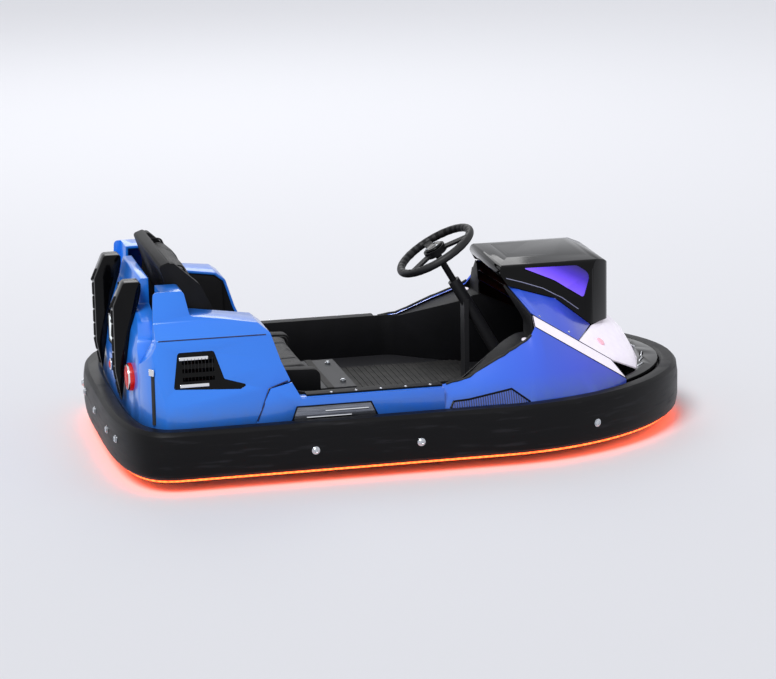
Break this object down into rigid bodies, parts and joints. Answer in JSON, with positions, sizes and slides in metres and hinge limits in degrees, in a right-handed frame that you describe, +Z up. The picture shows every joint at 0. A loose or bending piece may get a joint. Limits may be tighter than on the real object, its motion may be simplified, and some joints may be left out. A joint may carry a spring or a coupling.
{
  "type": "bumper car",
  "caption": "One-seat electric bumper kart with a closed rubber bumper ring, moulded body panels, a cowl, a bucket seat and four small wheels.",
  "frame": {"origin": "on the floor under the middle of the bumper ring", "axes": "+X forward, +Y to the driver's left, +Z up"},
  "size_m": [1.96, 1.19, 0.668],
  "materials": {
    "rubber": "satin moulded rubber",
    "glow": "lit red orange strip",
    "frame_steel": "black powder coat",
    "steel": "turned steel",
    "grey_metal": "cast grey",
    "battery_case": "grained",
    "tyre_rubber": "matt",
    "rim_metal": "satin",
    "body_blue": "gloss blue",
    "black_gloss": "gloss black",
    "black_plastic": "grained black",
    "lit_white": "lit white",
    "violet": "tinted violet",
    "marker_blue": "tinted blue",
    "kick_metal": "mottled grey",
    "lamp_red": "clear red",
    "seat_vinyl": "black vinyl"
  },
  "bodies": {
    "chassis": {"bumper": "rubber", "underglow_strip": "glow", "frame_hoop": "frame_steel", "chassis_frame": "frame_steel", "floor_pan": "frame_steel", "battery": "battery_case", "transaxle": "grey_metal", "front_axle": "frame_steel", "rear_pod_left": "body_blue", "rear_pod_right": "body_blue", "side_vents": "black_gloss", "side_panels": "body_blue", "kick_plates": "kick_metal", "front_fender_left": "body_blue", "front_fender_right": "body_blue", "side_markers": "marker_blue", "light_bars": "lit_white", "hood_panels": "body_blue", "nose_fascia": "lit_white", "front_tray": "black_gloss", "cowl": "black_gloss", "cowl_windows": "violet", "cockpit_liner": "black_plastic", "rear_cover": "body_blue", "rear_ribs": "black_gloss", "tail_lamps": "lamp_red", "rear_controls": "black_plastic", "seat_shell": "black_plastic", "seat_cushion": "seat_vinyl", "seat_back_pad": "seat_vinyl", "steering_column": "frame_steel", "pedals": "steel"},
    "steering": {"steering_wheel": "black_plastic"},
    "knuckle_left": {"knuckle_left": "grey_metal"},
    "knuckle_right": {"knuckle_right": "grey_metal"},
    "tie_rod_left": {"tie_rod_left": "steel"},
    "tie_rod_right": {"tie_rod_right": "steel"},
    "wheel_front_left": {"tyre_front_left": "tyre_rubber", "rim_front_left": "rim_metal"},
    "wheel_front_right": {"tyre_front_right": "tyre_rubber", "rim_front_right": "rim_metal"},
    "wheel_rear_left": {"tyre_rear_left": "tyre_rubber", "rim_rear_left": "rim_metal"},
    "wheel_rear_right": {"tyre_rear_right": "tyre_rubber", "rim_rear_right": "rim_metal"}
  },
  "joints": [
    {"name": "steering", "type": "hinge", "parent": "chassis", "child": "steering", "pos_m": [0.165, 0, 0.59], "axis": [-0.5, 0, 0.866], "range_deg": [-30, 30]},
    {"name": "kingpin_left", "type": "hinge", "parent": "chassis", "child": "knuckle_left", "pos_m": [0.47, 0.325, 0.11], "axis": [0, 0, 1], "range_deg": [-30, 30]},
    {"name": "kingpin_right", "type": "hinge", "parent": "chassis", "child": "knuckle_right", "pos_m": [0.47, -0.325, 0.11], "axis": [0, 0, 1], "range_deg": [-30, 30]},
    {"name": "rod_eye_left", "type": "hinge", "parent": "knuckle_left", "child": "tie_rod_left", "pos_m": [0.41, 0.325, 0.106], "axis": [0, 0, 1], "range_deg": [-30, 30]},
    {"name": "rod_eye_right", "type": "hinge", "parent": "knuckle_right", "child": "tie_rod_right", "pos_m": [0.41, -0.325, 0.106], "axis": [0, 0, 1], "range_deg": [-30, 30]},
    {"name": "roll_front_left", "type": "hinge", "parent": "knuckle_left", "child": "wheel_front_left", "pos_m": [0.47, 0.385, 0.11], "axis": [0, 1, 0], "continuous": true},
    {"name": "roll_front_right", "type": "hinge", "parent": "knuckle_right", "child": "wheel_front_right", "pos_m": [0.47, -0.385, 0.11], "axis": [0, 1, 0], "continuous": true},
    {"name": "roll_rear_left", "type": "hinge", "parent": "chassis", "child": "wheel_rear_left", "pos_m": [-0.56, 0.4, 0.11], "axis": [0, 1, 0], "continuous": true},
    {"name": "roll_rear_right", "type": "hinge", "parent": "chassis", "child": "wheel_rear_right", "pos_m": [-0.56, -0.4, 0.11], "axis": [0, 1, 0], "continuous": true}
  ],
  "couplings": [
    {"joint": "kingpin_left", "follows": "steering", "ratio": 1},
    {"joint": "kingpin_right", "follows": "steering", "ratio": 1},
    {"joint": "rod_eye_left", "follows": "steering", "ratio": -1},
    {"joint": "rod_eye_right", "follows": "steering", "ratio": -1}
  ]
}
